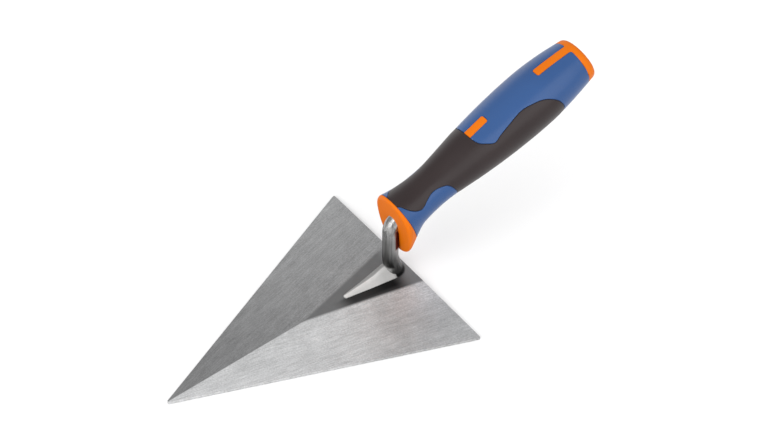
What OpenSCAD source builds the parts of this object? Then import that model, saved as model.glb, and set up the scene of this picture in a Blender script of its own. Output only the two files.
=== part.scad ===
// Brick trowel: a flat pointed blade, a forged tang welded to it, and a
// handle moulded in three shots around the tang.
// Millimetres. The blade lies on z = 0 and points along -X, and the handle
// rises towards +X. Except for the soft grip's rear edge, the trowel is
// symmetric about the plane y = 0.
// The origin is on the blade's underside, below the centre of the tang's neck.

/* [Blade] */
// Length of the blade from its point to its heel edge
blade_length = 139; // [110:1:170]
// Width of the blade across its heel corners
blade_width = 118.4; // [90:0.2:140]
// Thickness of the blade under the tang
blade_thickness = 1.9; // [1.2:0.1:2.5]
// Radius of the point and of the two heel corners
corner_radius = 0.6; // [0.4:0.1:3]
// Distance from the heel edge to the front end of the unground land
land_length = 61; // [50:1:75]
// Width of the unground land at the heel edge
land_width = 30; // [24:1:40]
// Depth that grinding takes off the blade at its heel corners
grind_depth = 0.7; // [0.1:0.05:0.8]

/* [Tang] */
// Diameter of the bar where it bends into the handle
neck_diameter = 7.9; // [6.6:0.1:8.4]
// Diameter of the neck at the blade
neck_foot_diameter = 8.2; // [7:0.1:9]
// Distance from the heel edge to the centre of the neck
neck_setback = 9; // [8.5:0.1:12]
// Height above the blade where the neck's centre line meets the handle axis
neck_height = 36.2; // [32:0.1:42]
// Radius of the bend between the neck and the handle, on its centre line
bend_radius = 7; // [6:0.5:9]
// Depth of the spike below the handle axis
spike_drop = 1.7; // [0:0.1:2]
// Diameter of the leaning heel behind the neck, at the blade
heel_diameter = 10.6; // [9.6:0.2:13]
// Distance that the heel's centre lies behind the neck's, at the blade
heel_reach = 1.6; // [1:0.1:2.4]
// Height above the blade where the heel runs out into the neck
heel_height = 13; // [9:0.5:18]
// Length of the ridged foot from the centre of the neck to its front end
foot_length = 28.5; // [22:0.5:36]
// Width of the foot where it meets the neck
foot_width = 11.2; // [9:0.2:12]
// Width of the foot's blunt front end
foot_tip_width = 1.8; // [1:0.1:3]
// Height of the foot's ridge above the blade, at the centre of the neck
foot_height = 4.6; // [3.5:0.1:8]
// Thickness of the foot's edges
foot_edge = 0.5; // [0.4:0.1:1.5]
// Length of the spike inside the handle, from the end of the bend
spike_length = 78; // [50:1:90]
// Width across the flats of the square spike, where it leaves the bend
spike_root_width = 5.2; // [4.4:0.1:5.4]
// Width across the flats of the square spike at its far end
spike_tip_width = 3; // [2.4:0.1:4]

/* [Handle] */
// Slope of the handle axis above the blade, in degrees
handle_angle = 19.8; // [14:0.2:26]
// Length of the handle along its axis
handle_length = 123.6; // [118:0.2:135]
// Width of the collar at its front face
collar_width = 27; // [25:0.2:30]
// Drop of the collar's finger guard below the round of the handle
guard_drop = 9.6; // [4:0.2:11]
// Lean of the collar's front face from square to the axis, in degrees
collar_lean = 12; // [6:0.5:15]
// Rounding of the collar's front edge
collar_rounding = 2.4; // [0.8:0.1:3]
// Diameter of the handle at its waist
waist_diameter = 20.6; // [20:0.2:24]
// Diameter of the handle at its belly
belly_diameter = 30.3; // [27:0.1:35]
// Diameter of the handle where the butt begins
butt_diameter = 25; // [22:0.2:28]
// Rounding of the butt's rear edge
butt_rounding = 2.2; // [1:0.1:4]
// Lean of the butt's end, whose lower side reaches further back, in degrees
butt_lean = 4; // [0:0.5:6]
// Thickness of the soft grip
grip_thickness = 1.8; // [1.2:0.1:2.2]
// Diameter of the core's bar where it leaves the collar
core_front_diameter = 12; // [11:0.2:13]
// Diameter of the core's bar where it meets the butt
core_rear_diameter = 17; // [14:0.5:18]
// Width of the two ribs that show on top of the handle
rib_width = 4.5; // [3.5:0.1:6]
// Room between the neck and the groove in the collar
groove_clearance = 0.3; // [0.2:0.1:1]

/* [Hidden] */
$fn = 64;

steel_grey = [0.72, 0.73, 0.74];
forged_grey = [0.60, 0.61, 0.63];
core_orange = [0.95, 0.42, 0.06];
shell_blue = [0.22, 0.37, 0.62];
grip_black = [0.20, 0.19, 0.19];

// A length that reaches past every piece
far = 400;

// Blade: half angle of the land at its front end, and of the grinding slope
land_angle = atan(land_width / 2 / land_length);
corner_reach = cos(land_angle) * (blade_width / 2 - land_width / 2);
grind_angle = atan(grind_depth / corner_reach);

// Tang: the neck's centre line is upright, and its bend turns it onto the
// handle axis
neck_radius = neck_diameter / 2;
turn = 90 - handle_angle;
bend_reach = bend_radius * tan(turn / 2);
axis_height = blade_thickness + neck_height;
bend_start = axis_height - spike_drop / cos(handle_angle) - bend_reach;
heel_lean = atan(heel_reach / heel_height);

// The heel's cone runs on below the blade's top and is cut off there
heel_run = 2;
heel_slope = (heel_diameter - neck_diameter) / 2 / heel_height;

// Foot: its sides leave the round of its front end at a tangent, and the two
// slopes of its roof rise from its edges to the ridge
foot_tip_radius = foot_tip_width / 2;
tip_run = foot_length - foot_tip_radius;
foot_half_angle = atan(foot_width / 2 / tip_run) - asin(foot_tip_radius / norm([tip_run, foot_width / 2]));
roof_slope = (foot_height - foot_edge) / (foot_width / 2);
ridge_angle = atan(roof_slope * tan(foot_half_angle));
roof_angle = atan(roof_slope * cos(ridge_angle));

// Handle frame: local X runs along the axis from the collar's face to the
// butt, and local Z points to the top of the handle
face_setback = 1.1;
collar_start = [
    face_setback, 0,
    axis_height + face_setback * tan(handle_angle)
];
spike_start = bend_reach - face_setback / cos(handle_angle) - spike_drop * tan(handle_angle);

// The bar is a little thicker in its bend, and the neck and the spike run on
// into the bend
bend_step = 0.1;
overlap = 0.8;

// Places along the handle axis: the collar's rear, the waist, the swell in
// front of the belly, the belly, the butt and the two ribs
ring_at = 3.8;
waist_at = 23.5;
swell_at = 48.4;
belly_at = 89.5;
butt_depth = 5;
butt_at = handle_length - butt_depth;
short_rib = [52, 64.4];
long_rib_start = 97.4;
rib_corner = 1;
root_fillet = 0.8;

// Distance behind the collar's face over which its lean and its finger guard
// die away, and ahead of the butt over which the lean of its end grows
lean_reach = 16;
guard_reach = 12.2;
butt_lean_reach = 8;

// How much fuller than an ellipse the finger guard's outline is
guard_fullness = 0.15;

// Slopes of the handle's round behind the collar, on the swell and ahead of
// the butt, and the swell's share of the way from the waist to the belly
collar_slope = -0.3;
swell_slope = 0.114;
butt_slope = -0.157;
swell_share = 0.51;
swell_radius = waist_diameter / 2 + swell_share * (belly_diameter - waist_diameter) / 2;

// Radius of the handle's round at its stations: [place, radius, slope]
stations = [
    [0, collar_width / 2, collar_slope],
    [waist_at, waist_diameter / 2, 0],
    [swell_at, swell_radius, swell_slope],
    [belly_at, belly_diameter / 2, 0],
    [butt_at, butt_diameter / 2, butt_slope],
    [handle_length, butt_diameter / 2 + butt_slope * butt_depth, butt_slope],
];

// Height of the short rib's front end, which stops under the soft grip
rib_notch = swell_radius - grip_thickness;

// Side view of the soft grip's two wavy edges, as [place, height] in the
// handle frame: each runs from above the handle to below it
wave_end = 22;
front_wave = [
    [ring_at - 3, wave_end], [ring_at - 0.6, 13.2], [5.3, 11.4], [8, 8.2],
    [10.6, 5.9], [13.6, 4.8], [18.6, 6.3], [22.4, 6.9], [26.8, 6.2],
    [30.2, 4.4], [32.2, -1], [32.4, -8], [32.4, -wave_end]
];
rear_wave = [
    [52.4, wave_end], [52.4, 13], [53.4, 9.8], [56.3, 7.6], [60, 5.7],
    [64.2, 6.8], [70.8, 8.1], [79, 9.3], [86, 8.4], [92, 6.4],
    [97, 1.9], [99.2, -3.6], [99.8, -10.8], [99.8, -wave_end]
];

// Turn of the rear edge about the handle axis, in degrees, which takes it lower
// down the left side of the handle than the right
rear_roll = 14;

// Steps of the handle's skin around and along the axis, of a wave's stretch
// between two of its points, and of a rounded corner seen from above
around = 36;
body_steps = 24;
edge_steps = 4;
wave_steps = 4;
corner_steps = 6;

// Cubic from value a with slope ma to value b with slope mb over length l
function hermite(a, ma, b, mb, l, t) =
    a * (1 + t * t * (2 * t - 3)) + b * t * t * (3 - 2 * t)
    + l * (ma * t * (1 - t) * (1 - t) - mb * t * t * (1 - t));

function smooth(t) = let (u = min(1, max(0, t))) u * u * (3 - 2 * u);

// A smooth curve through a list of points
function curve(p) = concat(
    [for (i = [0 : len(p) - 2], k = [0 : wave_steps - 1])
        let (
            a = p[max(0, i - 1)], b = p[i], c = p[i + 1],
            d = p[min(len(p) - 1, i + 2)]
        )
        hermite(b, (c - a) / 2, c, (d - b) / 2, 1, k / wave_steps)],
    [p[len(p) - 1]]
);

function reverse(p) = [for (i = [len(p) - 1 : -1 : 0]) p[i]];

// The station that begins the stretch holding place x
function stretch(x, i = 0) =
    i >= len(stations) - 2 || x < stations[i + 1][0] ? i : stretch(x, i + 1);

function radius(x) =
    let (i = stretch(x), p = stations[i], q = stations[i + 1], l = q[0] - p[0])
    hermite(p[1], p[2], q[1], q[2], l, (x - p[0]) / l);

// Lean of the section through axis place x, and share of the finger guard
function lean(x) =
    collar_lean * (1 - smooth(x / lean_reach))
    - butt_lean * smooth((x - butt_at) / butt_lean_reach + 1);
function guard(x) = 1 - smooth(x / guard_reach);

function power(v, q) = sign(v) * pow(abs(v), q);

// Point at angle f from the top, on the section through axis place x, with
// the skin set back by the given inset: a circle above, and below it an
// ellipse that the guard makes longer and fuller
function skin(x, f, inset) =
    let (
        r = radius(x) - inset,
        g = cos(f) > 0 ? 0 : guard(x),
        q = 1 - guard_fullness * g,
        side = r * power(sin(f), q),
        up = (r + guard_drop * g) * power(cos(f), q)
    )
    [x + up * sin(lean(x)), side, up * cos(lean(x))];

// Sections of the handle, as [place, inset]: the collar's rounded edge, the
// body, and the rounded butt
sections = concat(
    [for (i = [0 : edge_steps - 1])
        let (b = 90 * i / edge_steps)
        [collar_rounding * (1 - cos(b)), collar_rounding * (1 - sin(b))]],
    [for (i = [0 : body_steps])
        [collar_rounding + (butt_at - collar_rounding) * i / body_steps, 0]],
    [for (i = [0 : edge_steps])
        let (b = 90 * i / edge_steps)
        [handle_length - butt_rounding * (1 - sin(b)), butt_rounding * (1 - cos(b))]]
);

// The handle's whole outer form, set back by the given inset
module handle_form(inset = 0) {
    n = len(sections);
    points = [for (s = sections, j = [0 : around - 1])
        skin(s[0], 360 * j / around, s[1] + inset)];
    sides = [for (i = [0 : n - 2], j = [0 : around - 1])
        let (k = (j + 1) % around)
        each [[i * around + j, i * around + k, (i + 1) * around + k],
              [i * around + j, (i + 1) * around + k, (i + 1) * around + j]]];
    front = [[for (j = [0 : around - 1]) around - 1 - j]];
    rear = [[for (j = [0 : around - 1]) (n - 1) * around + j]];
    polyhedron(points, concat(sides, front, rear));
}

// Children placed in the handle frame
module on_handle() {
    translate(collar_start) rotate([0, -handle_angle, 0]) children();
}

// Everything between two places on the handle axis
module between(x0, x1) {
    translate([x0, -far / 2, -far / 2]) cube([x1 - x0, far, far]);
}

// An outline in side view, run through the handle
module across_handle() {
    rotate([90, 0, 0]) linear_extrude(height = far, center = true) children();
}

// Where the soft grip lies: behind its front edge and ahead of its rear edge
module grip_region() {
    intersection() {
        across_handle()
        polygon(concat(curve(front_wave), [[far, -wave_end], [far, wave_end]]));
        rotate([-rear_roll, 0, 0])
        across_handle()
        polygon(concat(curve(rear_wave), [[-far, -wave_end], [-far, wave_end]]));
    }
}

// Arc of points about a centre, from one angle to another
function arc(centre, r, from, to) =
    [for (i = [0 : corner_steps])
        let (a = from + (to - from) * i / corner_steps)
        centre + r * [cos(a), sin(a)]];

// Blade outline: an isosceles triangle whose rounded corners reach the
// stated length and width
module blade_outline() {
    tip = [corner_radius - blade_length, 0];
    heel = [-corner_radius, blade_width / 2 - corner_radius];
    half = atan(heel.y / (heel.x - tip.x));
    polygon(concat(
        arc(tip, corner_radius, 90 + half, 270 - half),
        arc([heel.x, -heel.y], corner_radius, 270 - half, 360),
        arc(heel, corner_radius, 0, 90 + half)
    ));
}

// Everything above the grinding plane of one half, which leaves the land at
// its edge and falls away towards the heel corner
module grind_cut() {
    translate([-land_length, 0, blade_thickness])
    rotate([0, 0, land_angle])
    rotate([-grind_angle, 0, 0])
    translate([-far / 2, 0, 0])
    cube(far);
}

module blade() {
    color(steel_grey)
    translate([neck_setback, 0, 0])
    difference() {
        linear_extrude(height = blade_thickness) blade_outline();
        grind_cut();
        mirror([0, 1, 0]) grind_cut();
    }
}

// Everything above one slope of the foot's roof
module roof_cut() {
    translate([0, 0, blade_thickness + foot_height])
    rotate([0, -ridge_angle, 0])
    rotate([roof_angle, 0, 0])
    translate([-far / 2, -far / 2, 0])
    cube(far);
}

// Foot: it runs forward from the neck to a blunt end, with a roof-shaped top
module foot() {
    difference() {
        translate([0, 0, blade_thickness])
        linear_extrude(height = foot_height)
        polygon(concat(
            arc([-tip_run, 0], foot_tip_radius, 90 + foot_half_angle, 270 - foot_half_angle),
            [[0, -foot_width / 2], [0, foot_width / 2]]
        ));
        roof_cut();
        mirror([0, 1, 0]) roof_cut();
    }
}

// Neck: upright bar that tapers a little towards its bend
module neck() {
    translate([0, 0, blade_thickness])
    cylinder(
        d1 = neck_foot_diameter,
        d2 = neck_diameter - 2 * bend_step,
        h = bend_start + overlap - blade_thickness
    );
}

// Heel: a cone that leans out of the back of the neck down to the blade
module heel() {
    intersection() {
        translate([0, 0, blade_thickness + heel_height])
        rotate([0, 180 - heel_lean, 0])
        cylinder(
            d1 = neck_diameter - 4 * bend_step,
            d2 = heel_diameter + 2 * heel_slope * heel_run,
            h = heel_height + heel_run
        );
        translate([-far / 2, -far / 2, blade_thickness]) cube(far);
    }
}

module bend() {
    translate([bend_radius, 0, bend_start])
    rotate([90, 0, 0])
    rotate([0, 0, 180 - turn])
    rotate_extrude(angle = turn)
    translate([bend_radius, 0]) circle(r = neck_radius);
}

// Spike: a square taper along the handle, which keeps it from turning
module spike() {
    on_handle()
    translate([spike_start - overlap, 0, -spike_drop])
    rotate([0, 90, 0])
    linear_extrude(
        height = spike_length + overlap,
        scale = spike_tip_width / spike_root_width
    )
    square(spike_root_width, center = true);
}

module tang() {
    color(forged_grey)
    union() {
        foot();
        heel();
        neck();
        bend();
        spike();
    }
}

// Plan of a rib from x0 to its rounded corners at x1
module rib_plan(x0, x1) {
    d = x1 > x0 ? 1 : -1;
    w = rib_width / 2;
    end = x1 - d * rib_corner;
    polygon([[x0, -w], [end, -w], [end, w], [x0, w]]);
    polygon([[x0, rib_corner - w], [x1, rib_corner - w], [x1, w - rib_corner], [x0, w - rib_corner]]);
    for (s = [-1, 1]) translate([end, s * (w - rib_corner)]) circle(r = rib_corner);
}

// Fillets in plan where the long rib runs into the butt
module root_plan() {
    w = rib_width / 2 + root_fillet;
    difference() {
        translate([butt_at - root_fillet, -w]) square([root_fillet + overlap, 2 * w]);
        for (s = [-1, 1])
            translate([butt_at - root_fillet, s * w]) circle(r = root_fillet, $fn = 24);
    }
}

// The two ribs as upright bars that reach past the handle's top
module rib_bars() {
    linear_extrude(height = far) {
        rib_plan(short_rib[0], short_rib[1]);
        rib_plan(butt_at + overlap, long_rib_start);
        root_plan();
    }
}

// The core's bar, which tapers from the butt to the collar
module core_bar() {
    translate([ring_at, 0, 0])
    rotate([0, 90, 0])
    cylinder(d1 = core_front_diameter, d2 = core_rear_diameter, h = butt_at - ring_at);
}

// The core without the room for the tang: its bar carries the collar, the
// two ribs and the butt, and the short rib's front end stops under the grip
module core_body() {
    core_bar();
    intersection() {
        handle_form();
        union() {
            between(-far / 2, ring_at);
            between(butt_at, far / 2);
            difference() {
                rib_bars();
                intersection() {
                    grip_region();
                    translate([0, -far / 2, rib_notch]) cube(far);
                }
            }
        }
    }
}

// Groove down the collar's face in which the neck stands clear
module neck_groove() {
    r = neck_foot_diameter / 2 + groove_clearance;
    cylinder(r = r, h = bend_start + overlap);
    translate([-far, -r, 0]) cube([far, 2 * r, bend_start + overlap]);
}

module handle_core() {
    color(core_orange)
    difference() {
        on_handle() core_body();
        neck_groove();
        bend();
        spike();
    }
}

// Shell: it fills the handle's round, less a layer of the grip's thickness
// inside the grip's outline
module handle_shell() {
    color(shell_blue)
    on_handle()
    difference() {
        intersection() {
            handle_form();
            between(ring_at, butt_at);
        }
        difference() {
            grip_region();
            handle_form(grip_thickness);
        }
        core_bar();
        rib_bars();
    }
}

module soft_grip() {
    color(grip_black)
    on_handle()
    difference() {
        intersection() {
            handle_form();
            grip_region();
            between(ring_at, butt_at);
        }
        handle_form(grip_thickness);
    }
}

blade();
tang();
handle_core();
handle_shell();
soft_grip();
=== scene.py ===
"""Looks of a brick trowel: a ground steel blade, a forged tang and a handle moulded in three shots.

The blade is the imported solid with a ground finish. The tang and the three mouldings of the handle are
smooth surfaces worked out from the same sizes as the solids, in millimetres, and made metres when they
become meshes. The handle's own frame has its first axis along the handle from the collar, its second to
the side and its third up.
"""

import math

import bpy
import numpy as np
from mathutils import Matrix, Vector


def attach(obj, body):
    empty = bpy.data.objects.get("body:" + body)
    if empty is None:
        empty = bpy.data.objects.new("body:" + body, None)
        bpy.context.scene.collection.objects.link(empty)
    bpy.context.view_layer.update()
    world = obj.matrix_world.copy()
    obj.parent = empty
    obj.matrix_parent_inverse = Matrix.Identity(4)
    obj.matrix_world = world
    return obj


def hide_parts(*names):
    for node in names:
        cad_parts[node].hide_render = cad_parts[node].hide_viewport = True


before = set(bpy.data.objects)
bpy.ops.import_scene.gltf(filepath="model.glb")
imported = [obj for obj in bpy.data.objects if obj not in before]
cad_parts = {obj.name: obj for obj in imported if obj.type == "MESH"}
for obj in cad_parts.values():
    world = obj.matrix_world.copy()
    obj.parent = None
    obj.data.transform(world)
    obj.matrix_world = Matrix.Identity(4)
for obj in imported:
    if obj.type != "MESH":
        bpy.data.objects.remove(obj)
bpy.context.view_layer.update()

MM = 0.001

# Blade
BLADE_TOP = 1.9
HEEL_EDGE = 9.0
HEEL_HALF_WIDTH = 59.2
EDGE_SLOPE = 0.426
LAND_LENGTH = 61.0
LAND_HALF_WIDTH = 15.0
GRIND_ANGLE = math.radians(13.8)

# Neck and spike of the tang
NECK_RADIUS = 3.95
NECK_FOOT_RADIUS = 4.1
NECK_TAPER_HEIGHT = 30.0
NECK_SINK = 0.2
HEEL_RADIUS = 4.9
HEEL_REACH = 1.9
HEEL_HEIGHT = 13.0
BEND_RADIUS = 7.0
SPIKE_LENGTH = 78.0
SPIKE_ROOT = 2.6
SPIKE_TIP = 1.5
SPIKE_DROP = 1.7
SQUARE_START = 1.0
SQUARE_RUN = 6.0
ROUND_POWER = 2
SQUARE_POWER = 8

# Forging flutes down the neck: depth as a share of the radius, then each set's count, strength and start
FLUTE_DEPTH = 0.010
FLUTES = ((7, 1.0, 0.6), (11, 0.8, 2.1), (16, 0.5, 0.0))
FLUTE_RUN = HEEL_HEIGHT * 2 / 3

# Foot of the tang
FOOT_LENGTH = 28.5
FOOT_HALF_WIDTH = 5.6
FOOT_TIP_RADIUS = 0.9
FOOT_HEIGHT = 4.6
FOOT_EDGE = 0.5
FOOT_RUN_ON = 0.3
FOOT_SINK = 0.05
FOOT_EDGE_ROUND = 0.12
RIDGE_SOFTNESS = 0.3
RIDGE_SAG = 0.35
SWEEP_HEIGHT = 1.5
SWEEP_START = -11.5
SWEEP_RUN = 8.5
SWEEP_HALF_WIDTH = 5.2

# How far each side of the foot turns off its middle line, outside the round of its tip
FOOT_RUN = FOOT_LENGTH - FOOT_TIP_RADIUS
FOOT_HALF_ANGLE = (
    math.atan2(FOOT_HALF_WIDTH, FOOT_RUN) - math.asin(FOOT_TIP_RADIUS / math.hypot(FOOT_HALF_WIDTH, FOOT_RUN))
)
FOOT_TAPER = math.tan(FOOT_HALF_ANGLE)

# Handle, along its axis from the collar
AXIS_HEIGHT = 38.1
HANDLE_ANGLE = math.radians(19.8)
FACE_SETBACK = 1.1
HANDLE_LENGTH = 123.6
BUTT_AT = 118.6
BUTT_ROUND = 2.2
BUTT_LEAN = math.radians(4)
BUTT_LEAN_REACH = 8.0
BUTT_DEPTH = 4.0
RING_AT = 3.8
COLLAR_LEAN = math.radians(12)
COLLAR_LEAN_REACH = 16.0
COLLAR_ROUND = 2.4
GUARD_DROP = 9.6
GUARD_REACH = 12.2
GUARD_FULLNESS = 0.15
GROOVE_RADIUS = 4.4
GROOVE_FADE = 1.5
GRIP_THICKNESS = 1.8
GRIP_GAP = 0.1
GRIP_CROWN = 0.12
CROWN_REACH = 4.0
RIB_HALF_WIDTH = 2.25
RIB_CORNER = 1.0
RIB_ROOT = 1.2
RIB_DEPTH = 5.0
SHORT_RIB = (45.0, 64.4)
LONG_RIB = (97.4, 130.0)
CORE_RADII = (6.0, 8.5)
CORE_GAP = 0.05
CORE_OVERLAP = 1.0
SHELL_START = 0.7
SHELL_SINK_RUN = 0.35

# Rounding where two mouldings meet
LIP = 0.3
RIB_LIP = 0.24

# The neck's bend: how far it turns, and the heights where it begins and where the collar's groove ends
BEND_TURN = math.pi / 2 - HANDLE_ANGLE
BEND_START = AXIS_HEIGHT - SPIKE_DROP / math.cos(HANDLE_ANGLE) - BEND_RADIUS * math.tan(BEND_TURN / 2)
GROOVE_END = BEND_START - 0.5

# Place, radius and slope of the handle's stations
STATIONS = np.array([
    (0, 13.5, -0.3),
    (23.5, 10.3, 0),
    (48.4, 12.774, 0.114),
    (89.5, 15.15, 0),
    (118.6, 12.5, -0.157),
    (123.6, 11.715, -0.157),
])

# The soft grip's front and rear edges in side view, as place and height
FRONT_WAVE = (
    (0.8, 22), (3.2, 13.2), (5.3, 11.4), (8, 8.2), (10.6, 5.9), (13.6, 4.8), (18.6, 6.3),
    (22.4, 6.9), (26.8, 6.2), (30.2, 4.4), (32.2, -1), (32.4, -8), (32.4, -22),
)
REAR_WAVE = (
    (52.4, 22), (52.4, 13), (53.4, 9.8), (56.3, 7.6), (60, 5.7), (64.2, 6.8), (70.8, 8.1),
    (79, 9.3), (86, 8.4), (92, 6.4), (97, 1.9), (99.2, -3.6), (99.8, -10.8), (99.8, -22),
)

# Turn of the rear edge about the handle axis, which takes it lower down the left side
REAR_ROLL = math.radians(14)

# Fineness of the surfaces
COLUMNS = 300
EDGE_ROWS = 12
BODY_ROWS = 276
CAP_RINGS = 40
BAR_COLUMNS = 48
TANG_COLUMNS = 120
NECK_ROWS = 90
BEND_ROWS = 30
SPIKE_ROWS = 60
TIP_ROWS = 14
FOOT_ROWS = 60
FOOT_COLUMNS = 61

# Colours of the steel, and of the painted shade in the collar's groove: on the neck's side, where it also
# stands in for the groove's red reflection, and on the collar itself
BLADE_TINT = (0.99, 0.996, 1.004, 1)
TANG_TINT = (1.0, 0.99, 0.975, 1)
BLACK = (0, 0, 0, 1)
NECK_SIDE_PAINTED_SHADE_RED = (0.10, 0.010, 0.004, 1)
GROOVE_PAINTED_SHADE_RED = (0.42, 0.055, 0.002, 1)
FLOOR_WHITE = (0.86, 0.86, 0.86, 1)

# Tones of the steel, as shares of white. Those of the blade's halves, the neck and the foot's slopes are
# painted light and shade: they stand in for how each catches the light
LEFT_POINT_PAINTED_TONE = 0.215
RIGHT_HALF_PAINTED_TONE = 0.555
LAND_TONE = 0.14
NECK_PAINTED_TONE = 0.085
RIGHT_SLOPE_PAINTED_TONE = 0.40
LEFT_SLOPE_PAINTED_TONE = 0.36

# Middle of the painted pale patch beside the neck, on the blade's right half: painted light that lifts the
# shade and dark reflection of the handle there
PAINTED_LIGHT_PATCH = (8.0, -10.0)

# Depths of the finishes in metres, for their bumps
GRINDING_DEPTH = 0.00005
FORGING_DEPTH = 0.00006

# Floor and lights, in metres
FLOOR_REACH = 3.0
FLOOR_GAP = 0.0004
LIT_POINT = (0.0, 0.0, 0.03)
SURROUND_STRENGTH = 0.92

# Camera: where it stands and what it looks at on the blade's top, then its sensor and lens
CAMERA_STAND = (-288.62, -366.79, 546.76)
CAMERA_AIM = (16.94, 30.27, BLADE_TOP)
SENSOR_WIDTH = 36
FOCAL_LENGTH = 68.1


# Meshes


def mesh_piece(name, points, faces, crease=35):
    """Object made of triangles over points in millimetres, smooth except where faces meet at more than the
    crease, in degrees."""
    mesh = bpy.data.meshes.new(name)
    faces = np.asarray(faces, dtype=np.int32)
    mesh.vertices.add(len(points))
    mesh.vertices.foreach_set("co", (np.asarray(points) * MM).ravel())
    mesh.loops.add(faces.size)
    mesh.loops.foreach_set("vertex_index", faces.ravel())
    mesh.polygons.add(len(faces))
    mesh.polygons.foreach_set("loop_start", np.arange(0, faces.size, 3))
    mesh.polygons.foreach_set("use_smooth", np.ones(len(faces), dtype=bool))
    mesh.update(calc_edges=True)
    mesh.set_sharp_from_angle(angle=math.radians(crease))
    piece = bpy.data.objects.new(name, mesh)
    bpy.context.scene.collection.objects.link(piece)
    return piece


def joined(parts):
    """Points and triangles of several closed surfaces as one list of each."""
    starts = np.cumsum([0] + [len(points) for points, faces in parts])
    points = np.vstack([points for points, faces in parts])
    return points, np.vstack([part[1] + start for part, start in zip(parts, starts)])


def used_only(points, faces):
    """The same surface without the points that no triangle names."""
    kept, renamed = np.unique(faces, return_inverse=True)
    return points[kept], renamed.reshape(faces.shape)


def numbered(rows, columns):
    """Grid of point numbers, row by row."""
    return np.arange(rows * columns).reshape(rows, columns)


def wrapped_faces(index):
    """Triangles over a grid of point numbers whose columns close on themselves, facing outwards when the
    columns turn from up to the left."""
    a, b = index[:-1], index[1:]
    c, d = np.roll(b, -1, axis=1), np.roll(a, -1, axis=1)
    return np.vstack([np.stack(corners, axis=-1).reshape(-1, 3) for corners in ((a, b, c), (a, c, d))])


def fan(ring, centre, forward):
    """Triangles from a closed ring of points to one centre, facing forward along the grid's rows or back."""
    following = np.roll(ring, -1)
    pair = (following, ring) if forward else (ring, following)
    return np.stack([*pair, np.full(len(ring), centre)], axis=-1)


def tube(rows):
    """Closed surface of a stack of rings: a wrapped grid, with a fan to the middle of its first and last
    ring."""
    count, columns = rows.shape[:2]
    ends = np.stack([rows[0].mean(axis=0), rows[-1].mean(axis=0)])
    index = numbered(count, columns)
    faces = np.vstack([
        wrapped_faces(index),
        fan(index[0], index.size, False),
        fan(index[-1], index.size + 1, True),
    ])
    return np.vstack([rows.reshape(-1, 3), ends]), faces


def full_turn(columns):
    """Even angles round a full turn."""
    return np.linspace(0, 2 * math.pi, columns, endpoint=False)


def circles(places, radii, columns):
    """Rings about the handle's axis, one for each place and radius."""
    angles = full_turn(columns)
    along, r = np.array(places)[:, None], np.array(radii)[:, None]
    return np.stack(np.broadcast_arrays(along, r * np.sin(angles), r * np.cos(angles)), axis=-1)


# The handle's skin


def smooth(t):
    """Rises from 0 to 1 with level ends."""
    t = np.clip(t, 0, 1)
    return t * t * (3 - 2 * t)


def hermite(a, slope_a, b, slope_b, span, t):
    """Cubic from a to b over a span, with the given slopes at its ends."""
    return (
        a * (1 + t * t * (2 * t - 3)) + b * t * t * (3 - 2 * t)
        + span * (slope_a * t * (1 - t) ** 2 - slope_b * t * t * (1 - t))
    )


def radius(place):
    """Handle's radius: a cubic between each two stations."""
    i = np.clip(np.searchsorted(STATIONS[:, 0], place, side="right") - 1, 0, len(STATIONS) - 2)
    a, b = STATIONS[i], STATIONS[i + 1]
    span = b[..., 0] - a[..., 0]
    return hermite(a[..., 1], a[..., 2], b[..., 1], b[..., 2], span, (place - a[..., 0]) / span)


def power(value, exponent):
    """Power of a value's size, with the value's sign."""
    return np.sign(value) * np.abs(value) ** exponent


def skin(place, angle, inset):
    """Point at an angle from the top on the section through a place: a circle above, and below it an ellipse
    that the finger guard makes longer and fuller. Towards the collar the section leans forward, and towards
    the butt a little back."""
    r = radius(place) - inset
    share = np.where(np.cos(angle) > 0, 0, 1 - smooth(place / GUARD_REACH))
    fullness = 1 - GUARD_FULLNESS * share
    side = r * power(np.sin(angle), fullness)
    up = (r + GUARD_DROP * share) * power(np.cos(angle), fullness)
    forward = COLLAR_LEAN * (1 - smooth(place / COLLAR_LEAN_REACH))
    back = BUTT_LEAN * smooth((place - BUTT_AT) / BUTT_LEAN_REACH + 1)
    tilt = forward - back
    return np.stack([place + up * np.sin(tilt), side, up * np.cos(tilt)], axis=-1)


def around_step(values):
    """Half the step from the column before to the column after."""
    return (np.roll(values, -1, axis=1) - np.roll(values, 1, axis=1)) / 2


def handle_skin():
    """Grid of the whole skin: even steps along the body, and a quarter round at the collar and at the butt.
    Returns the places, the points and the directions that point out of the skin."""
    turn = np.linspace(0, math.pi / 2, EDGE_ROWS)
    places = np.concatenate([
        COLLAR_ROUND * (1 - np.cos(turn)),
        np.linspace(COLLAR_ROUND, HANDLE_LENGTH - BUTT_ROUND, BODY_ROWS)[1:-1],
        HANDLE_LENGTH - BUTT_ROUND * (1 - np.sin(turn)),
    ])
    insets = np.concatenate([
        COLLAR_ROUND * (1 - np.sin(turn)),
        np.zeros(BODY_ROWS - 2),
        BUTT_ROUND * (1 - np.cos(turn)),
    ])
    points = skin(places[:, None], full_turn(COLUMNS)[None, :], insets[:, None])
    out = np.cross(np.gradient(points, axis=0), around_step(points))
    out /= np.linalg.norm(out, axis=-1, keepdims=True)
    return places, points, out


PLACES, SKIN, OUT = handle_skin()


def to_frame(points):
    """Handle's own frame turned up by the handle's angle and set on the collar's place above the neck."""
    c, s = math.cos(HANDLE_ANGLE), math.sin(HANDLE_ANGLE)
    x, y, z = np.moveaxis(points, -1, 0)
    lift = AXIS_HEIGHT + FACE_SETBACK * math.tan(HANDLE_ANGLE)
    return np.stack([FACE_SETBACK + c * x - s * z, y, lift + s * x + c * z], axis=-1)


# Where one moulding ends and the next begins


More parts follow.
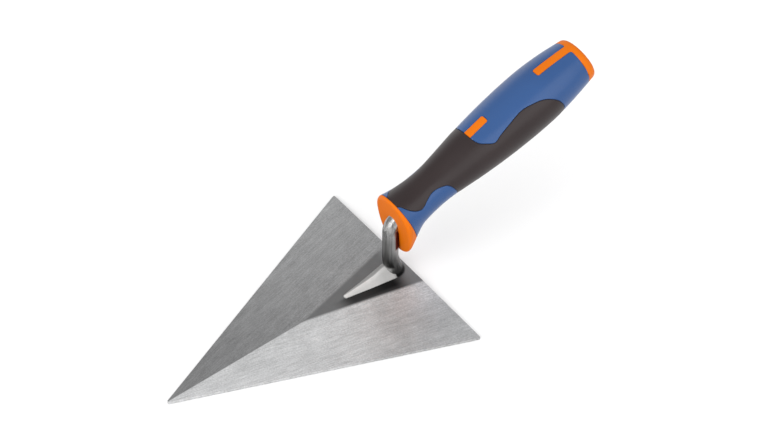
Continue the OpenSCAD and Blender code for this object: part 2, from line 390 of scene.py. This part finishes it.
def wave_line(knots, steps=8):
    """Smooth line through knots: between two of them a cubic whose slopes follow the knots on either side."""
    p = np.array(knots, dtype=float)
    a, b, c, d = np.vstack([p[:1], p[:-2]]), p[:-1], p[1:], np.vstack([p[2:], p[-1:]])
    t = np.arange(steps)[None, :, None] / steps
    line = hermite(b[:, None], (c - a)[:, None] / 2, c[:, None], (d - b)[:, None] / 2, 1, t)
    return np.vstack([line.reshape(-1, 2), p[-1:]])


def slanted(points):
    """Place and height of points turned back by the roll of the grip's rear edge."""
    x, y, z = np.moveaxis(points, -1, 0)
    return x, y * math.sin(REAR_ROLL) + z * math.cos(REAR_ROLL)


def behind(line, u, w):
    """Signed distance in side view from points at places u and heights w to a line drawn downwards: above
    zero behind it."""
    signed = np.full(u.shape, np.inf)
    for a, b in zip(line[:-1], line[1:]):
        run = b - a
        t = np.clip(((u - a[0]) * run[0] + (w - a[1]) * run[1]) / (run @ run), 0, 1)
        gap = np.hypot(u - a[0] - t * run[0], w - a[1] - t * run[1])
        side = np.sign(run[0] * (w - a[1]) - run[1] * (u - a[0]))
        signed = np.where(gap < np.abs(signed), gap * side, signed)
    return signed


def over_skin(field, least=0.3):
    """A field of side-view distances as distances over the skin: divided by its own slope there, which is
    taken as between the least and 1."""
    along = np.linalg.norm(np.gradient(SKIN, axis=0), axis=-1)
    around = np.linalg.norm(around_step(SKIN), axis=-1)
    slope = np.hypot(np.gradient(field, axis=0) / along, around_step(field) / around)
    return field / np.clip(slope, least, 1)


def inside_rib(span, far=100.0):
    """Distance in plan to the outline of a rib with rounded corners: above zero inside it, and far below
    zero on the handle's underside."""
    middle, half = sum(span) / 2, (span[1] - span[0]) / 2
    u = np.abs(SKIN[..., 0] - middle) - half + RIB_CORNER
    v = np.abs(SKIN[..., 1]) - RIB_HALF_WIDTH + RIB_CORNER
    outside = np.hypot(np.maximum(u, 0), np.maximum(v, 0)) + np.minimum(np.maximum(u, v), 0) - RIB_CORNER
    return np.where(SKIN[..., 2] > 0, -outside, -far)


def blended_or(a, b, blend):
    """Larger of two distances, with a fillet of about the blend where they cross."""
    share = np.clip(0.5 + 0.5 * (a - b) / blend, 0, 1)
    return b + (a - b) * share + blend * share * (1 - share)


BEHIND_RING = over_skin(SKIN[..., 0] - RING_AT)
BEHIND_FRONT = behind(wave_line(FRONT_WAVE), SKIN[..., 0], SKIN[..., 2])
BEHIND_REAR = behind(wave_line(REAR_WAVE), *slanted(SKIN))
IN_GRIP = np.minimum(over_skin(np.minimum(BEHIND_FRONT, -BEHIND_REAR)), BEHIND_RING)
IN_SHORT_RIB = np.minimum(inside_rib(SHORT_RIB), over_skin(BEHIND_REAR))
IN_BUTT = blended_or(inside_rib(LONG_RIB), SKIN[..., 0] - BUTT_AT, RIB_ROOT)
IN_SHELL = np.minimum(np.minimum(-IN_GRIP, BEHIND_RING), np.minimum(-IN_SHORT_RIB, -IN_BUTT))


def trim(field, nudge=0.04):
    """Triangles of the skin where a field is above zero, with those that its edge crosses cut along it.
    Returns the triangles, the pairs of grid points that each new point lies between, its share of the way
    from one to the other, and the edge's short runs in the triangles' own turning sense. A point almost on
    the edge is nudged off it."""
    flat = np.where(np.abs(field) < nudge, np.where(field < 0, -nudge, nudge), field).ravel()
    corners = wrapped_faces(numbered(*field.shape))
    above = flat[corners] > 0
    count = above.sum(axis=1)

    def turned(number, first):
        """Triangles with that many corners above zero, each begun at its lone corner."""
        chosen, lone = corners[count == number], first(above[count == number], axis=1)
        return np.take_along_axis(chosen, (np.arange(3) + lone[:, None]) % 3, axis=1)

    one, two = turned(1, np.argmax), turned(2, np.argmin)
    crossed = np.vstack([one[:, [0, 1]], one[:, [0, 2]], two[:, [0, 1]], two[:, [0, 2]]])
    pairs, number = np.unique(np.sort(crossed, axis=1), axis=0, return_inverse=True)
    share = flat[pairs[:, 0]] / (flat[pairs[:, 0]] - flat[pairs[:, 1]])
    fresh = number.ravel() + flat.size
    one_b, one_c, two_b, two_c = np.split(fresh, np.cumsum([len(one), len(one), len(two)]))
    triangles = np.vstack([
        corners[count == 3],
        np.stack([one[:, 0], one_b, one_c], axis=-1),
        np.stack([two[:, 1], two[:, 2], two_c], axis=-1),
        np.stack([two[:, 1], two_c, two_b], axis=-1),
    ])
    rim = np.vstack([np.stack([one_b, one_c], axis=-1), np.stack([two_c, two_b], axis=-1)])
    return triangles, pairs, share[:, None], rim


def rounded(reach, lip):
    """Height lost towards an edge: a quarter round of the lip's size."""
    near = np.clip(reach, 0, lip)
    return np.sqrt(lip * lip - (lip - near) ** 2) - lip


def cut_skin(field, lip, crown=0.0):
    """The skin where a field is above zero, rounded along its edge and raised by the crown away from it.
    Returns its points, the directions out of it, its triangles and its rim."""
    triangles, pairs, share, rim = trim(field)

    def with_cuts(values):
        """Values at the grid's points, then at the new points between them."""
        flat = values.reshape(field.size, -1)
        return np.vstack([flat, flat[pairs[:, 0]] * (1 - share) + flat[pairs[:, 1]] * share])

    reach = np.concatenate([field.ravel(), np.zeros(len(pairs))])
    out = with_cuts(OUT)
    out /= np.linalg.norm(out, axis=-1, keepdims=True)
    height = rounded(reach, lip) + crown * smooth(reach / CROWN_REACH)
    return with_cuts(SKIN) + out * height[:, None], out, triangles, rim


def plate(field, lip, thickness, crown=0.0, end_row=None):
    """Closed plate: a cut of the skin, the same cut set in by the thickness and turned over, and a wall along
    the rim. Where the cut reaches the butt's last row, a fan closes each side there."""
    outer, out, triangles, rim = cut_skin(field, lip, crown)
    inner = outer - out * thickness
    count = len(outer)
    i, j = rim.T
    faces = [
        triangles,
        triangles[:, ::-1] + count,
        np.stack([j, i, i + count], axis=-1),
        np.stack([j, i + count, j + count], axis=-1),
    ]
    points = [outer, inner]
    if end_row is not None:
        ring = np.arange(COLUMNS) + end_row * COLUMNS
        points += [outer[ring].mean(axis=0, keepdims=True), inner[ring].mean(axis=0, keepdims=True)]
        faces += [fan(ring, 2 * count, True), fan(ring + count, 2 * count + 1, False)]
    return used_only(np.vstack(points), np.vstack(faces))


# Handle mouldings


def soft_grip():
    """Plate over the grip's outline, a little crowned, as soft mouldings are."""
    points, faces = plate(IN_GRIP, LIP, GRIP_THICKNESS - GRIP_GAP, crown=GRIP_CROWN)
    return mesh_piece("soft_grip_moulding", to_frame(points), faces)


def shell():
    """Tube of the whole skin from under the collar to under the butt: on the skin where the shell shows, with
    a rounded edge, and sunk by the grip's thickness where another moulding lies on it. A straight taper bores
    it, and its last ring joins its first."""
    sunk = -LIP - (GRIP_THICKNESS - LIP) * smooth(-IN_SHELL / SHELL_SINK_RUN)
    height = np.where(IN_SHELL > 0, rounded(IN_SHELL, LIP), sunk)
    rows = slice(np.searchsorted(PLACES, SHELL_START), np.searchsorted(PLACES, BUTT_AT + CORE_OVERLAP))
    outer = (SKIN + OUT * height[..., None])[rows]
    bore = circles((PLACES[rows][-1], RING_AT), CORE_RADII[::-1], COLUMNS)
    rings = np.concatenate([outer, bore])
    index = numbered(len(rings), COLUMNS)
    faces = wrapped_faces(np.vstack([index, index[:1]]))
    return mesh_piece("shell_moulding", to_frame(rings.reshape(-1, 3)), faces)


def collar():
    """Cut of the skin ahead of the ring, closed in front by rings that shrink to the middle of the face and
    behind by a fan. A round groove of the neck's size, open to the front, is pressed down the face."""
    outer, _, triangles, rim = cut_skin(-BEHIND_RING, LIP)
    ring = np.arange(COLUMNS)
    face = outer[ring]
    middle = face.mean(axis=0)
    shrink = np.linspace(1, 0, CAP_RINGS)[1:-1, None, None]
    cap = (middle + (face - middle) * shrink).reshape(-1, 3)
    cap_index = np.vstack([ring, numbered(CAP_RINGS - 2, COLUMNS) + len(outer)])
    front = len(outer) + len(cap)
    rear = front + 1
    i, j = rim.T
    faces = np.vstack([
        triangles,
        wrapped_faces(cap_index)[:, ::-1],
        fan(cap_index[-1], front, False),
        np.stack([j, i, np.full(len(rim), rear)], axis=-1),
    ])
    points, faces = used_only(np.vstack([outer, cap, middle[None], [(RING_AT, 0, 0)]]), faces)
    x, y, z = to_frame(points).T
    wall = np.sqrt(np.maximum(GROOVE_RADIUS ** 2 - y * y, 0))
    below_bend = 1 - smooth((z - GROOVE_END) / GROOVE_FADE)
    pressed = np.where(np.abs(y) < GROOVE_RADIUS, np.maximum(wall - x, 0) * below_bend, 0)
    return np.stack([x + pressed, y, z], axis=-1), faces


def core_bar():
    """Straight taper inside the shell, from the collar to the butt."""
    ends = (RING_AT - CORE_OVERLAP, BUTT_AT + CORE_OVERLAP)
    points, faces = tube(circles(ends, np.array(CORE_RADII) - CORE_GAP, BAR_COLUMNS))
    return to_frame(points), faces


def core():
    """Collar, short rib, and butt with the long rib, all carried by the bar."""
    rib_points, rib_faces = plate(IN_SHORT_RIB, RIB_LIP, RIB_DEPTH)
    butt_points, butt_faces = plate(IN_BUTT, RIB_LIP, BUTT_DEPTH, end_row=len(PLACES) - 1)
    points, faces = joined([
        collar(),
        core_bar(),
        (to_frame(rib_points), rib_faces),
        (to_frame(butt_points), butt_faces),
    ])
    return mesh_piece("core_moulding", points, faces)


# Tang


def tang_bar():
    """Profile carried up the neck, round the bend and along the handle: round with shallow forging flutes,
    swelling and leaning back into the heel below, and turning into a square taper inside the handle. The
    profile is a circle whose power rises from a round's to a square's."""
    up = np.linspace(BLADE_TOP - NECK_SINK, BEND_START, NECK_ROWS)
    bend = np.linspace(0, BEND_TURN, BEND_ROWS)[1:]
    inner = np.linspace(0, SPIKE_LENGTH, SPIKE_ROWS)[1:]
    above_blade = up - BLADE_TOP
    swell = 1 - smooth(above_blade / HEEL_HEIGHT)
    squared = smooth((inner - SQUARE_START) / SQUARE_RUN)

    arc_x, arc_z = BEND_RADIUS * (1 - np.cos(bend)), BEND_START + BEND_RADIUS * np.sin(bend)
    centre_x = np.concatenate([HEEL_REACH * swell, arc_x, arc_x[-1] + math.cos(HANDLE_ANGLE) * inner])
    centre_z = np.concatenate([up, arc_z, arc_z[-1] + math.sin(HANDLE_ANGLE) * inner])
    heading = np.concatenate([0 * up, bend, BEND_TURN + 0 * inner])

    neck_share = np.clip(above_blade / NECK_TAPER_HEIGHT, 0, 1)
    neck = NECK_FOOT_RADIUS + (NECK_RADIUS - NECK_FOOT_RADIUS) * neck_share
    spike = SPIKE_ROOT + (SPIKE_TIP - SPIKE_ROOT) * inner / SPIKE_LENGTH
    size = np.concatenate([
        neck + (HEEL_RADIUS - NECK_FOOT_RADIUS) * swell,
        NECK_RADIUS + 0 * bend,
        NECK_RADIUS + (spike - NECK_RADIUS) * squared,
    ])[:, None]
    corner = np.concatenate([0 * up, 0 * bend, squared])[:, None]
    fluted = np.concatenate([smooth(above_blade / FLUTE_RUN), 1 - bend / BEND_TURN, 0 * inner])[:, None]

    angles = full_turn(TANG_COLUMNS)
    cosine, sine = np.cos(angles), np.sin(angles)
    ripple = sum(strength * np.cos(count * angles + start) for count, strength, start in FLUTES)
    exponent = ROUND_POWER + (SQUARE_POWER - ROUND_POWER) * corner
    spread = (np.abs(cosine) ** exponent + np.abs(sine) ** exponent) ** (-1 / exponent)
    r = size * spread * (1 + FLUTE_DEPTH * fluted * ripple)
    across = r * cosine
    return tube(np.stack([
        centre_x[:, None] + across * np.cos(heading)[:, None],
        r * sine,
        centre_z[:, None] - across * np.sin(heading)[:, None],
    ], axis=-1))


def foot(tip_start=0.06):
    """Roof carried from a rounded front end back into the neck. Its half width grows evenly behind the front
    round, which begins at a small angle off its very tip, and its slopes fall from the ridge to thin edges.
    The ridge is softened, sags a little, and sweeps up to the neck."""
    slope = (FOOT_HEIGHT - FOOT_EDGE) / FOOT_HALF_WIDTH
    tip_end = -FOOT_RUN - FOOT_TIP_RADIUS * math.sin(FOOT_HALF_ANGLE)
    turn = np.linspace(tip_start, math.pi / 2 - FOOT_HALF_ANGLE, TIP_ROWS)
    x = np.concatenate([
        -FOOT_RUN - FOOT_TIP_RADIUS * np.cos(turn),
        np.linspace(tip_end, 0, FOOT_ROWS)[1:],
    ])[:, None]
    tip_round = np.sqrt(np.maximum(FOOT_TIP_RADIUS ** 2 - (x + FOOT_RUN) ** 2, 0))
    half = np.where(x < tip_end, tip_round, FOOT_HALF_WIDTH + x * FOOT_TAPER) + FOOT_RUN_ON
    across = half * np.sin(np.linspace(-math.pi / 2, math.pi / 2, FOOT_COLUMNS))
    aside = np.abs(across)

    ridge = FOOT_HEIGHT + x * slope * FOOT_TAPER - RIDGE_SAG * np.sin(math.pi * x / FOOT_LENGTH) ** 2
    fall = slope * (np.sqrt(across ** 2 + RIDGE_SOFTNESS ** 2) - RIDGE_SOFTNESS)
    sweep = SWEEP_HEIGHT * smooth((x - SWEEP_START) / SWEEP_RUN) * (1 - smooth(aside / SWEEP_HALF_WIDTH))
    off_edge = np.clip((half - aside) / FOOT_EDGE_ROUND, 0, 1)
    edge_loss = FOOT_EDGE_ROUND * (1 - np.sqrt(1 - (1 - off_edge) ** 2))
    top = np.maximum(ridge - fall + sweep - edge_loss, 0)

    y = np.hstack([across, half, -half])
    z = BLADE_TOP + np.hstack([top, np.full((len(x), 2), -FOOT_SINK)])
    return tube(np.stack([np.broadcast_to(x, y.shape), y, z], axis=-1)[:, ::-1])


def tang():
    """Neck, bend and spike in one bar, standing in the foot."""
    return mesh_piece("forged_tang", *joined([tang_bar(), foot()]), crease=28)


# Shader maths


class Sock:
    """One output in a material's nodes. Arithmetic on it adds Math nodes, and node() adds any other."""

    def __init__(self, tree, out):
        self.tree = tree
        self.out = out

    def node(self, kind, settings=None, sockets=None, out=0):
        """Output of a new node, whose settings are set first and whose sockets take numbers, colours or
        links."""
        made = self.tree.nodes.new(kind)
        for name, value in (settings or {}).items():
            setattr(made, name, value)
        for name, value in (sockets or {}).items():
            if isinstance(value, Sock):
                self.tree.links.new(value.out, made.inputs[name])
            else:
                made.inputs[name].default_value = value
        return Sock(self.tree, made.outputs[out])

    def math(self, operation, *values):
        """Output of a Math node over numbers or links."""
        return self.node("ShaderNodeMath", {"operation": operation}, dict(enumerate(values)))

    def __add__(self, other):
        return self.math("ADD", self, other)

    def __sub__(self, other):
        return self.math("SUBTRACT", self, other)

    def __rsub__(self, other):
        return self.math("SUBTRACT", other, self)

    def __mul__(self, other):
        return self.math("MULTIPLY", self, other)

    def __pow__(self, other):
        return self.math("POWER", self, other)

    def __abs__(self):
        return self.math("ABSOLUTE", self)

    __radd__ = __add__
    __rmul__ = __mul__

    def rise(self, low, high):
        """0 at or below low, 1 at or above high, smooth between."""
        return self.node(
            "ShaderNodeMapRange",
            {"interpolation_type": "SMOOTHSTEP"},
            {"Value": self, "From Min": low, "From Max": high},
        )

    def fall(self, low, high):
        """1 at or below low, 0 at or above high, smooth between."""
        return 1 - self.rise(low, high)

    def between(self, first, second):
        """Value from one to the other as this value goes from 0 to 1."""
        return first + (second - first) * self

    def blend(self, first, second):
        """Colour from one to the other as this value goes from 0 to 1."""
        return self.node(
            "ShaderNodeMix",
            {"data_type": "RGBA", "clamp_factor": True},
            {0: self, 6: first, 7: second},
            out=2,
        )

    def turned(self, first, second):
        """Vector from one to the other as this value goes from 0 to 1."""
        return self.node("ShaderNodeMix", {"data_type": "VECTOR"}, {0: self, 4: first, 5: second}, out=1)

    def noise(self, scale, detail=2.0, roughness=0.5):
        """Cloudy value about a half, at places given by this vector."""
        return self.node(
            "ShaderNodeTexNoise", None,
            {"Vector": self, "Scale": scale, "Detail": detail, "Roughness": roughness},
        )

    def stretched(self, scale, turn=0.0):
        """This vector turned about the upright and scaled along each axis."""
        return self.node(
            "ShaderNodeMapping", None,
            {"Vector": self, "Rotation": (0, 0, turn), "Scale": scale},
        )

    def bump(self, distance, strength):
        """Normal over this height, whose full range is a distance in metres."""
        return self.node("ShaderNodeBump", None, {"Height": self, "Distance": distance, "Strength": strength})


def new_finish(name):
    """A material with its shader, and the object's own coordinates to work from."""
    material = bpy.data.materials.new(name)
    material.use_nodes = True
    tree = material.node_tree
    shader = next(n for n in tree.nodes if n.type == "BSDF_PRINCIPLED")
    place = Sock(tree, tree.nodes.new("ShaderNodeTexCoord").outputs["Object"])
    return material, shader, place


def finish_with(shader, **sockets):
    """Shader's sockets set to numbers or colours, or linked; an underscore in a name stands for a space."""
    for name, value in sockets.items():
        socket = shader.inputs[name.replace("_", " ")]
        if isinstance(value, Sock):
            value.tree.links.new(value.out, socket)
        else:
            socket.default_value = value


def split(place):
    """A place's three coordinates in millimetres."""
    parts = [place.node("ShaderNodeSeparateXYZ", None, {"Vector": place}, out=k) for k in range(3)]
    return [part * (1 / MM) for part in parts]


def off_upright(x, y, at_x, at_y):
    """Distance in plan from an upright line."""
    return ((x - at_x) ** 2 + (y - at_y) ** 2) ** 0.5


# Finishes


def ground_steel():
    """Blade: each half ground in straight fine lines along the edge of the land, which is left darker and
    plain, with painted shade and dark reflection beside the right side of the foot and round the heel. A
    painted tone for each half, standing in for how its grinding catches the light, is shared out by side and
    times the grain, and gives way to the land's tone inside its outline."""
    material, shader, place = new_finish("ground_steel")
    x, y, z = split(place)
    aside = abs(y)
    left = y.rise(-0.25, 0.25)

    # Grain of the grinding, whose lines turn with each half
    turned = left.turned(place.stretched((1, 1, 1), GRIND_ANGLE), place.stretched((1, 1, 1), -GRIND_ANGLE))
    fine = turned.stretched((130, 2600, 1)).noise(1, 3)
    broad = turned.stretched((30, 420, 1)).noise(1, 2)
    cloud = place.noise(90, 4, 0.6)
    grit = place.noise(1300, 2)
    grain = 0.01 + fine * 0.74 + broad * 0.34 + cloud * 0.30 + grit * 0.60

    # Painted light: the left half is painted paler from the point to the heel and a little paler along its
    # edge, standing in for how its grinding catches the light
    from_edge = x * EDGE_SLOPE + (HEEL_HALF_WIDTH - HEEL_EDGE * EDGE_SLOPE) - aside
    left_painted_tone = (LEFT_POINT_PAINTED_TONE + x.rise(-120, 9) * 0.127) * (1.03 - from_edge.rise(0, 30) * 0.10)

    # Painted light: the right half is painted duller towards the heel, and painted paler again beside the
    # neck, where this lifts the shade and dark reflection of the handle
    painted_light_by_neck = off_upright(x, y, *PAINTED_LIGHT_PATCH).fall(8, 32)
    right_painted_tone = (RIGHT_HALF_PAINTED_TONE - (x - y * 0.65).rise(-20, -5) * 0.080) * (1 + painted_light_by_neck * 0.46)

    # The land, with painted shade and dark reflection beside the right side of the foot, which thins out
    # sideways, and round the heel
    inward = (x + (LAND_LENGTH - HEEL_EDGE)) * (LAND_HALF_WIDTH / LAND_LENGTH) - aside
    land = inward.rise(-1.3, 0.7) * z.rise(BLADE_TOP - 0.2, BLADE_TOP - 0.05)
    off_foot = -FOOT_HALF_WIDTH - x * FOOT_TAPER - y
    painted_foot_shade = 0.77 + x.rise(-22, -6) * 0.11 - off_foot.rise(3.5, 6.5) * 0.3
    painted_foot_shade = painted_foot_shade * y.fall(-1.5, 0.5) * x.rise(-36, -25) * x.fall(-4, 3)
    off_heel = off_upright(x, y, HEEL_REACH, 0)
    painted_heel_shade = off_heel.fall(HEEL_RADIUS + 0.4, HEEL_RADIUS + 1.6) * y.fall(-3, 3) * 0.85
    unshaded = (1 - painted_foot_shade) * (1 - painted_heel_shade)
    land_tone = (LAND_TONE + place.noise(160, 4) * 0.05) * (1 + x.rise(0, 6) * 0.45) * unshaded

    tone = land.between(left.between(right_painted_tone, left_painted_tone) * grain, land_tone)
    height = land.between(fine + broad * 0.5, place.noise(700, 3) * 0.3)
    finish_with(
        shader,
        Base_Color=tone.blend(BLACK, BLADE_TINT),
        Metallic=1.0,
        Roughness=0.50 + fine * 0.08,
        Normal=height.bump(GRINDING_DEPTH, 0.5),
    )
    return material


def forged_steel():
    """Tang: drop-forged steel, glossier and so brighter over the bend, with drawn streaks down the neck,
    which is painted darker towards the blade as shade and dark reflection, and paler just under the bend as a
    painted highlight. The foot is duller and painted paler, with a painted highlight along its ridge, and the
    side of the neck in the collar's groove is painted a dark red, for the shade there and the reflection of
    the red groove."""
    material, shader, place = new_finish("forged_steel")
    x, y, z = split(place)
    mottle = place.noise(420, 4, 0.6)
    drawn = place.stretched((700, 700, 30)).noise(1, 3)

    # Painted shade and light: the neck is painted darker towards the blade, standing in for its shade and
    # dark reflections there, paler upwards, and palest just under the bend as a painted highlight
    painted_highlight_under_bend = z.rise(25, 31) * z.fall(31, 34)
    streaks = 0.66 + drawn.rise(0.35, 0.65) * 0.68
    neck_painted_tone = (NECK_PAINTED_TONE + z.rise(11, 23) * 0.18 + painted_highlight_under_bend * 0.09) * streaks

    # Painted light: the foot's slopes get tones that stand in for how each catches the light. The right slope
    # darkens towards the neck, both darken away from the ridge, and a painted highlight runs along the ridge
    off_heel = off_upright(x, y, HEEL_REACH, 0)
    on_foot = off_heel.rise(HEEL_RADIUS - 0.1, HEEL_RADIUS + 0.2) * x.fall(-1.5, 0.5) * z.fall(7, 9)
    right_slope_painted_tone = (RIGHT_SLOPE_PAINTED_TONE - x.rise(-13, -5) * 0.095) * (1 + abs(y).fall(0.2, 1.8) * 0.2)
    left_slope_painted_tone = LEFT_SLOPE_PAINTED_TONE - y.rise(0.2, 1.8) * 0.08
    painted_ridge_highlight = abs(y - 0.15).fall(0.15, 0.6)
    foot_painted_tone = y.rise(0.05, 0.5).between(right_slope_painted_tone, left_slope_painted_tone)
    foot_painted_tone = foot_painted_tone * (0.86 + mottle * 0.28) * (1 + painted_ridge_highlight * 0.22)

    # Painted shade and reflection: the neck's side in the collar's groove is painted dark red, for the shade
    # there and the reflected red of the groove
    painted_groove_shade = x.rise(-0.3, 0.7) * z.rise(19.5, 21.5) * z.fall(BEND_START + 1.5, BEND_START + 3.5)
    steel = on_foot.between(neck_painted_tone, foot_painted_tone).blend(BLACK, TANG_TINT)
    finish_with(
        shader,
        Base_Color=painted_groove_shade.blend(steel, NECK_SIDE_PAINTED_SHADE_RED),
        Metallic=1 - on_foot * 0.6,
        Roughness=(0.26 + mottle * 0.16) * (1 - z.rise(28, 32) * 0.35) + painted_groove_shade * 0.5 + on_foot * 0.2,
        Normal=(mottle * 0.6 + drawn * 0.5).bump(FORGING_DEPTH, 0.5),
    )
    return material


def moulded(name, colour, pale, roughness, grain, depth, gloss):
    """Moulded plastic: an even colour that drifts slightly towards a paler one, under a fine spark-eroded
    grain of a depth in metres. A moulding that lies against the neck is painted a deep red there, as painted
    shade where little light comes in."""
    material, shader, place = new_finish(name)
    x, y, z = split(place)
    drift = place.noise(35, 3)
    texture = place.noise(grain, 3, 0.6)
    clean = (drift.rise(0.3, 0.7) * 0.5 + texture * 0.3).blend(colour, pale)
    # Painted shade: the moulding is painted deep red in the groove against the neck
    by_neck = off_upright(x, y, 0, 0).fall(GROOVE_RADIUS + 0.02, GROOVE_RADIUS + 0.3)
    painted_groove_shade = by_neck * z.fall(BEND_START, BEND_START + 3)
    finish_with(
        shader,
        Base_Color=painted_groove_shade.blend(clean, GROOVE_PAINTED_SHADE_RED),
        Roughness=roughness + texture * 0.14 + drift * 0.06,
        Normal=texture.bump(depth, 0.6),
        Specular_IOR_Level=gloss,
    )
    return material


def blue_plastic():
    """Shell: hard and glossy."""
    return moulded(
        "blue_plastic",
        colour=(0.0160, 0.0585, 0.178, 1),
        pale=(0.022, 0.073, 0.210, 1),
        roughness=0.20,
        grain=2600,
        depth=0.00003,
        gloss=0.31,
    )


def orange_plastic():
    """Core, where it shows: hard and satin."""
    return moulded(
        "orange_plastic",
        colour=(0.575, 0.122, 0.002, 1),
        pale=(0.655, 0.153, 0.003, 1),
        roughness=0.36,
        grain=2400,
        depth=0.00003,
        gloss=0.10,
    )


def black_elastomer():
    """Grip: soft, with a coarser and deeper grain."""
    return moulded(
        "black_elastomer",
        colour=(0.011, 0.0045, 0.0048, 1),
        pale=(0.018, 0.0095, 0.0095, 1),
        roughness=0.30,
        grain=1500,
        depth=0.00006,
        gloss=0.34,
    )


# Dressing


def dress(piece, node, material):
    """Puts a new piece in place of a solid of the frame."""
    piece.data.materials.append(material)
    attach(piece, "root")
    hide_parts(node)


for blade_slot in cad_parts["blade"].material_slots:
    blade_slot.material = ground_steel()
dress(tang(), "tang", forged_steel())
dress(core(), "handle_core", orange_plastic())
dress(shell(), "handle_shell", blue_plastic())
dress(soft_grip(), "soft_grip", black_elastomer())


# Stage, light and camera


def floor():
    """Wide pale square, a hair under the blade so that the two do not share a plane."""
    sides = ((-1, -1), (1, -1), (1, 1), (-1, 1))
    mesh = bpy.data.meshes.new("floor")
    mesh.from_pydata([(x * FLOOR_REACH, y * FLOOR_REACH, -FLOOR_GAP) for x, y in sides], [], [(0, 1, 2, 3)])
    piece = bpy.data.objects.new("floor", mesh)
    bpy.context.scene.collection.objects.link(piece)
    material, shader, _ = new_finish("pale_floor")
    finish_with(shader, Base_Color=FLOOR_WHITE, Roughness=0.9, Specular_IOR_Level=0.0)
    mesh.materials.append(material)


def softbox(name, direction, distance, size, watts):
    """Square area light that looks at the neck from a direction."""
    light = bpy.data.lights.new(name, "AREA")
    light.size = size
    light.energy = watts
    lamp = bpy.data.objects.new(name, light)
    towards = Vector(direction).normalized()
    lamp.location = Vector(LIT_POINT) + towards * distance
    lamp.rotation_euler = towards.to_track_quat("Z", "Y").to_euler()
    bpy.context.scene.collection.objects.link(lamp)


def studio():
    """Soft key from the camera's right, one in front of the blade, a low one behind on the left, a weak wide
    one overhead, and an even surround."""
    world = bpy.data.worlds.new("surround")
    world.use_nodes = True
    surround = world.node_tree.nodes["Background"]
    surround.inputs["Color"].default_value = (1, 1, 1, 1)
    surround.inputs["Strength"].default_value = SURROUND_STRENGTH
    bpy.context.scene.world = world
    softbox("key", (0.10, -0.85, 0.52), distance=1.2, size=1.1, watts=6.0)
    softbox("overhead", (-0.3, 0.1, 1.0), distance=1.4, size=1.4, watts=1.2)
    softbox("side", (0.28, 0.96, 0.10), distance=1.3, size=0.9, watts=1.6)
    softbox("front", (-0.9, -0.15, 0.5), distance=1.3, size=1.0, watts=9.6)


def camera():
    """Camera at the photograph's place, looking down over the blade's right half."""
    lens = bpy.data.cameras.new("camera")
    lens.sensor_width = SENSOR_WIDTH
    lens.lens = FOCAL_LENGTH
    eye = bpy.data.objects.new("camera", lens)
    stand = Vector(CAMERA_STAND) * MM
    aim = Vector(CAMERA_AIM) * MM
    eye.location = stand
    eye.rotation_euler = (aim - stand).to_track_quat("-Z", "Y").to_euler()
    bpy.context.scene.collection.objects.link(eye)
    bpy.context.scene.camera = eye


floor()
studio()
camera()
bpy.context.scene.view_settings.view_transform = "Standard"
